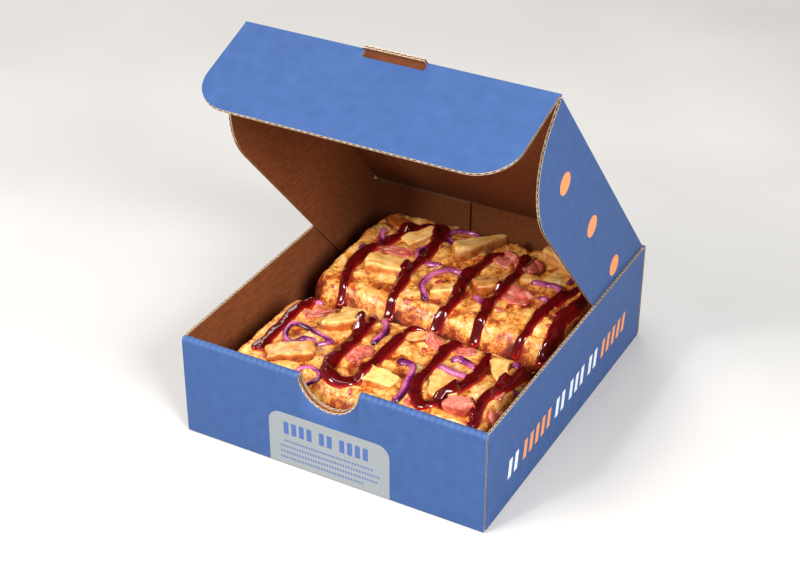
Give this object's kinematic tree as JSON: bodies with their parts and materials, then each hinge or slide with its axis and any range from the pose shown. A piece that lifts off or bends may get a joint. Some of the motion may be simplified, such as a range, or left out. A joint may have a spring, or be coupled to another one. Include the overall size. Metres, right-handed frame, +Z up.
{
  "type": "pizza in its takeaway box",
  "caption": "Puffy loaf-like slabs of loaded pizza in a folded corrugated tray box with a hinged, propped-open lid and a folding front flap.",
  "frame": {"origin": "centre of the tray's footprint, on the surface that the tray stands on; the object's whole box is centred there too", "axes": "+Z up, +Y towards the hinged back wall, +X to the right seen from the front"},
  "size_m": [0.22, 0.252, 0.2643],
  "materials": {
    "blue_board": "matte",
    "kraft_liner": "matte",
    "pale_ink": "matte",
    "orange_ink": "matte",
    "baked_crust": "satin",
    "barbecue_sauce": "gloss",
    "roast_chicken": "satin",
    "bacon": "satin",
    "red_onion": "satin"
  },
  "bodies": {
    "tray": {"tray": "blue_board", "pizza_rear": "baked_crust", "pizza_front": "baked_crust", "chicken_01": "roast_chicken", "chicken_02": "roast_chicken", "chicken_03": "roast_chicken", "chicken_04": "roast_chicken", "chicken_05": "roast_chicken", "chicken_06": "roast_chicken", "chicken_07": "roast_chicken", "chicken_08": "roast_chicken", "chicken_09": "roast_chicken", "chicken_10": "roast_chicken", "chicken_11": "roast_chicken", "chicken_12": "roast_chicken", "chicken_13": "roast_chicken", "chicken_14": "roast_chicken", "chicken_15": "roast_chicken", "bacon_01": "bacon", "bacon_02": "bacon", "bacon_03": "bacon", "bacon_04": "bacon", "bacon_05": "bacon", "bacon_06": "bacon", "bacon_07": "bacon", "bacon_08": "bacon", "bacon_09": "bacon", "bacon_10": "bacon", "bacon_11": "bacon", "onion_01": "red_onion", "onion_02": "red_onion", "onion_03": "red_onion", "onion_04": "red_onion", "onion_05": "red_onion", "onion_06": "red_onion", "onion_07": "red_onion", "onion_08": "red_onion", "onion_09": "red_onion", "onion_10": "red_onion", "onion_11": "red_onion", "onion_12": "red_onion", "onion_13": "red_onion", "onion_14": "red_onion", "onion_15": "red_onion", "onion_16": "red_onion", "onion_17": "red_onion", "onion_18": "red_onion", "onion_19": "red_onion", "onion_20": "red_onion"},
    "lid": {"lid": "blue_board"},
    "front_flap": {"front_flap": "blue_board"}
  },
  "joints": [
    {"name": "lid_hinge", "type": "hinge", "parent": "tray", "child": "lid", "pos_m": [0, 0.1251, 0.0731], "axis": [-1, 0, 0], "range_deg": [-43, 131]},
    {"name": "flap_hinge", "type": "hinge", "parent": "lid", "child": "front_flap", "pos_m": [0, -0.03662, 0.25914], "axis": [-1, 0, 0], "range_deg": [-8, 68]}
  ]
}
